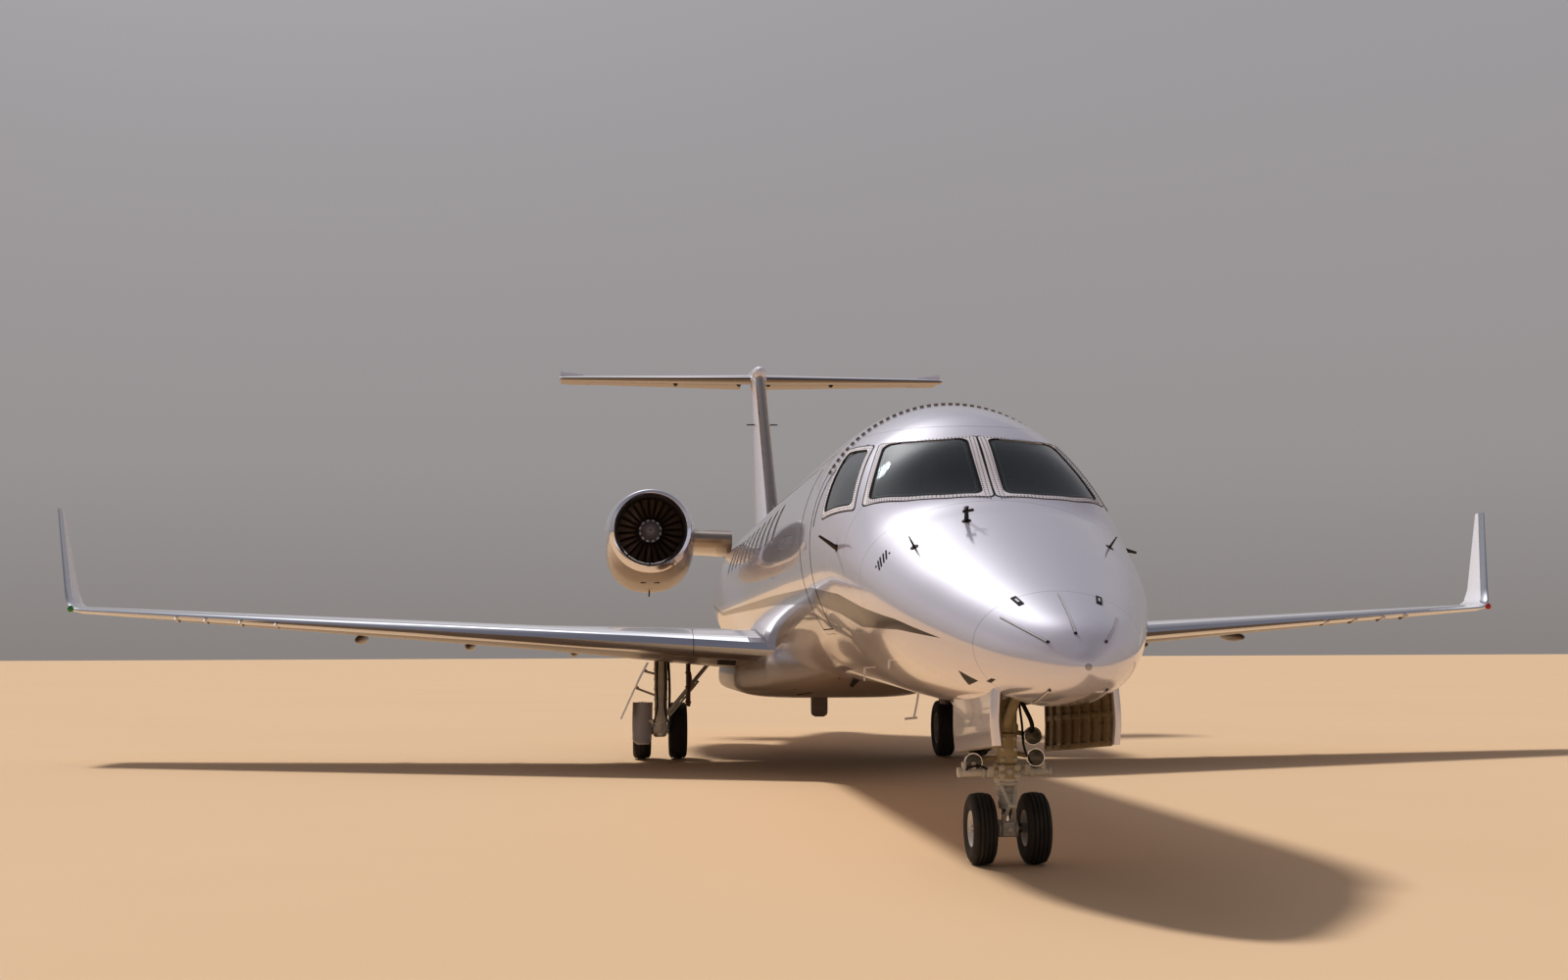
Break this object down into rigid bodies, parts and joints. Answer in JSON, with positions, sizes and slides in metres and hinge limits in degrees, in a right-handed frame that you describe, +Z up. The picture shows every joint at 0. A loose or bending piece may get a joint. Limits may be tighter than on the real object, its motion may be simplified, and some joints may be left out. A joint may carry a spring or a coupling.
{
  "type": "business jet",
  "caption": "Business jet with a low wing and winglets, a T-tail and an engine on each side of the rear fuselage, parked on its gear.",
  "frame": {"origin": "centre of the bounding box, on the ground under the tyres", "axes": "+Z up, the nose points to -Y, +X is the aircraft's left side"},
  "size_m": [21.161, 26.3291, 6.9488],
  "materials": {
    "white_paint": "gloss white paint over metal",
    "composite_white": "gloss white paint over composite",
    "light_skin": "gloss white paint over light alloy",
    "polished_metal": "polished light alloy",
    "engine_metal": "dull engine casing",
    "fan_metal": "dark satin titanium blades",
    "gear_metal": "painted gear steel, worn",
    "olive_gear": "olive grey primer",
    "grey_paint": "grey satin paint",
    "floor_grey": "grey floor covering",
    "dark_panel": "dark matt cockpit trim",
    "seat_leather": "dark leather",
    "glass": "clear tinted glass",
    "tyre": "black rubber, dusty"
  },
  "bodies": {
    "airframe": {"baggage_door": "light_skin", "belly_antenna": "grey_paint", "belly_fairing": "composite_white", "centre_fuselage": "white_paint", "cockpit_wall": "floor_grey", "engine_left": "engine_metal", "engine_right": "engine_metal", "fin": "light_skin", "flap_inboard_left": "light_skin", "flap_inboard_right": "light_skin", "flap_outboard_left": "light_skin", "flap_outboard_right": "light_skin", "floor": "floor_grey", "forward_fuselage": "white_paint", "instrument_panel": "dark_panel", "main_gear_door_left": "grey_paint", "main_gear_door_right": "grey_paint", "main_leg_left": "gear_metal", "main_leg_right": "gear_metal", "nacelle_left": "light_skin", "nacelle_right": "light_skin", "nose_gear_door_left": "white_paint", "nose_gear_door_right": "white_paint", "nose_leg": "olive_gear", "nose_section": "white_paint", "pilot_seat_left": "seat_leather", "pilot_seat_right": "seat_leather", "pylon_left": "polished_metal", "pylon_right": "polished_metal", "radome": "composite_white", "rear_fuselage": "white_paint", "service_door": "light_skin", "side_window_left": "glass", "side_window_right": "glass", "tail_cone": "light_skin", "tailplane": "light_skin", "windshield_left": "glass", "windshield_right": "glass", "wing_left": "white_paint", "wing_right": "white_paint"},
    "nose_steer": {"nose_strut": "olive_gear"},
    "aileron_left": {"aileron_left": "light_skin"},
    "aileron_right": {"aileron_right": "light_skin"},
    "elevator_left": {"elevator_left": "light_skin"},
    "elevator_right": {"elevator_right": "light_skin"},
    "fan_left": {"fan_left": "fan_metal"},
    "fan_right": {"fan_right": "fan_metal"},
    "main_door": {"main_door": "light_skin"},
    "main_wheels_left": {"main_wheels_left": "tyre"},
    "main_wheels_right": {"main_wheels_right": "tyre"},
    "nose_wheels": {"nose_wheels": "tyre"},
    "rudder": {"rudder": "light_skin"}
  },
  "joints": [
    {"name": "nose_steering", "type": "hinge", "parent": "airframe", "child": "nose_steer", "pos_m": [0, -10.9675, 0.55], "axis": [0, 0, 1], "range_deg": [-71, 71]},
    {"name": "nose_wheels_spin", "type": "hinge", "parent": "nose_steer", "child": "nose_wheels", "pos_m": [0, -10.9675, 0.238], "axis": [1, 0, 0], "continuous": true},
    {"name": "main_wheels_left_spin", "type": "hinge", "parent": "airframe", "child": "main_wheels_left", "pos_m": [2.05, 1.4625, 0.381], "axis": [1, 0, 0], "continuous": true},
    {"name": "main_wheels_right_spin", "type": "hinge", "parent": "airframe", "child": "main_wheels_right", "pos_m": [-2.05, 1.4625, 0.381], "axis": [1, 0, 0], "continuous": true},
    {"name": "fan_left_spin", "type": "hinge", "parent": "airframe", "child": "fan_left", "pos_m": [2.14, 4.285, 3.25], "axis": [0, 1, 0], "continuous": true},
    {"name": "fan_right_spin", "type": "hinge", "parent": "airframe", "child": "fan_right", "pos_m": [-2.14, 4.285, 3.25], "axis": [0, 1, 0], "continuous": true},
    {"name": "main_door_hinge", "type": "hinge", "parent": "airframe", "child": "main_door", "pos_m": [0.866, -8.755, 1.503], "axis": [0, 1, 0], "range_deg": [0, 130]},
    {"name": "rudder_hinge", "type": "hinge", "parent": "airframe", "child": "rudder", "pos_m": [0, 10.24399, 3.64], "axis": [0, 0.4647, 0.8855], "range_deg": [-15, 15]},
    {"name": "elevator_left_hinge", "type": "hinge", "parent": "airframe", "child": "elevator_left", "pos_m": [0.33, 12.04864, 6.75557], "axis": [0.9786, 0.2036, 0.0286], "range_deg": [-1, 39]},
    {"name": "elevator_right_hinge", "type": "hinge", "parent": "airframe", "child": "elevator_right", "pos_m": [-0.33, 12.04864, 6.75557], "axis": [0.9786, -0.2036, -0.0286], "range_deg": [-1, 39]},
    {"name": "aileron_left_hinge", "type": "hinge", "parent": "airframe", "child": "aileron_left", "pos_m": [6.65, 2.13592, 1.79069], "axis": [0.9533, 0.2939, 0.07], "range_deg": [-15, 25]},
    {"name": "aileron_right_hinge", "type": "hinge", "parent": "airframe", "child": "aileron_right", "pos_m": [-6.65, 2.13592, 1.79069], "axis": [0.9533, -0.2939, -0.07], "range_deg": [-15, 25]}
  ]
}
